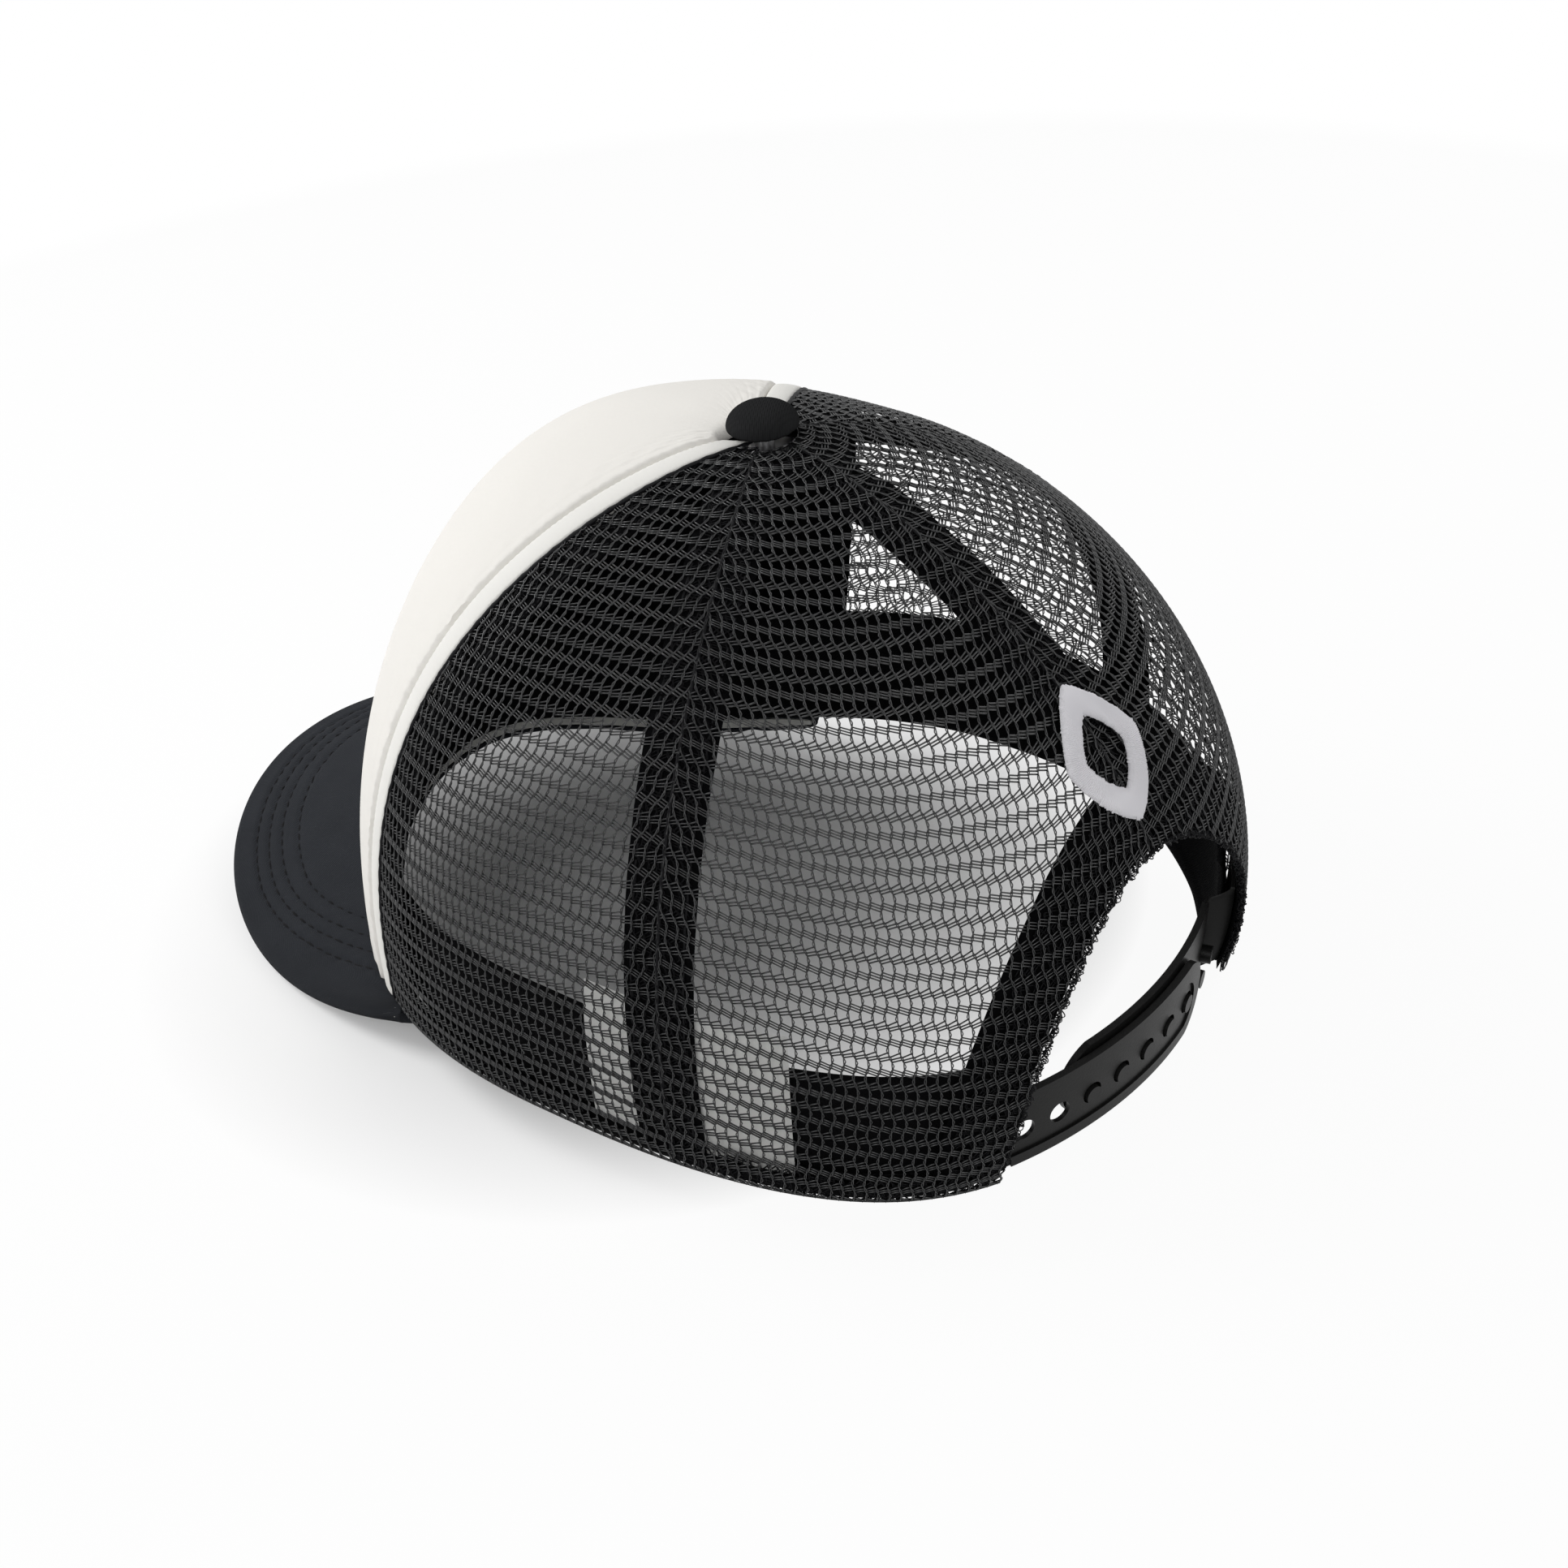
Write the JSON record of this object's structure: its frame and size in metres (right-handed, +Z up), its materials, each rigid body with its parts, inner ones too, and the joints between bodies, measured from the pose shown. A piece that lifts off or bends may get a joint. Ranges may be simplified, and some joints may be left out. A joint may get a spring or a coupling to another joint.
{
  "type": "trucker mesh cap",
  "caption": "Trucker cap with an off-white foam front, black net sides and back, a curved bill, a covered top button and a black snap strap across an arched rear opening.",
  "frame": {"origin": "on the ground under the vertical axis of the crown, in the middle of the head opening", "axes": "+Z up from the ground to the button, -Y towards the bill, +X towards the wearer's left"},
  "size_m": [0.1684, 0.2475, 0.1343],
  "materials": {
    "foam_cloth": "off-white laminated knit with a fine leathery grain",
    "piping_cloth": "off-white folded cloth, matt",
    "black_net": "matt black knitted net",
    "black_tape": "matt black woven tape",
    "sweatband_cloth": "matt black twill",
    "label_satin": "white satin label, soft sheen",
    "white_thread": "white satin stitch, soft sheen",
    "board_plastic": "plain sheet plastic",
    "bill_cloth": "charcoal woven cotton",
    "button_knit": "matt black knit",
    "button_steel": "plain pressed steel",
    "strap_plastic": "black moulded plastic, satin"
  },
  "bodies": {
    "crown": {"front_panel": "foam_cloth", "front_lining": "black_tape", "left_piping": "piping_cloth", "right_piping": "piping_cloth", "left_side_net": "black_net", "right_side_net": "black_net", "left_rear_net": "black_net", "right_rear_net": "black_net", "left_front_tape": "black_tape", "right_front_tape": "black_tape", "left_side_tape": "black_tape", "right_side_tape": "black_tape", "back_seam_tape": "black_tape", "arch_tape": "black_tape", "sweatband": "sweatband_cloth", "care_label": "label_satin", "back_embroidery": "white_thread", "bill_board": "board_plastic", "bill_top_cover": "bill_cloth", "bill_under_cover": "bill_cloth", "button_cover": "button_knit", "button_shell": "button_steel", "button_washer": "button_steel", "left_strap_tab": "strap_plastic", "right_strap_tab": "strap_plastic"},
    "hole_strap_end": {"hole_strap": "strap_plastic"},
    "peg_strap_end": {"peg_strap": "strap_plastic"}
  },
  "joints": [
    {"name": "hole_strap_swing", "type": "hinge", "parent": "crown", "child": "hole_strap_end", "pos_m": [0.03733, 0.08393, 0.0008], "axis": [-0.0566, -0.1271, -0.9903], "range_deg": [0, 60]},
    {"name": "peg_strap_swing", "type": "hinge", "parent": "crown", "child": "peg_strap_end", "pos_m": [-0.03595, 0.08083, 0.0024], "axis": [0.0566, -0.1271, -0.9903], "range_deg": [0, 50]}
  ]
}
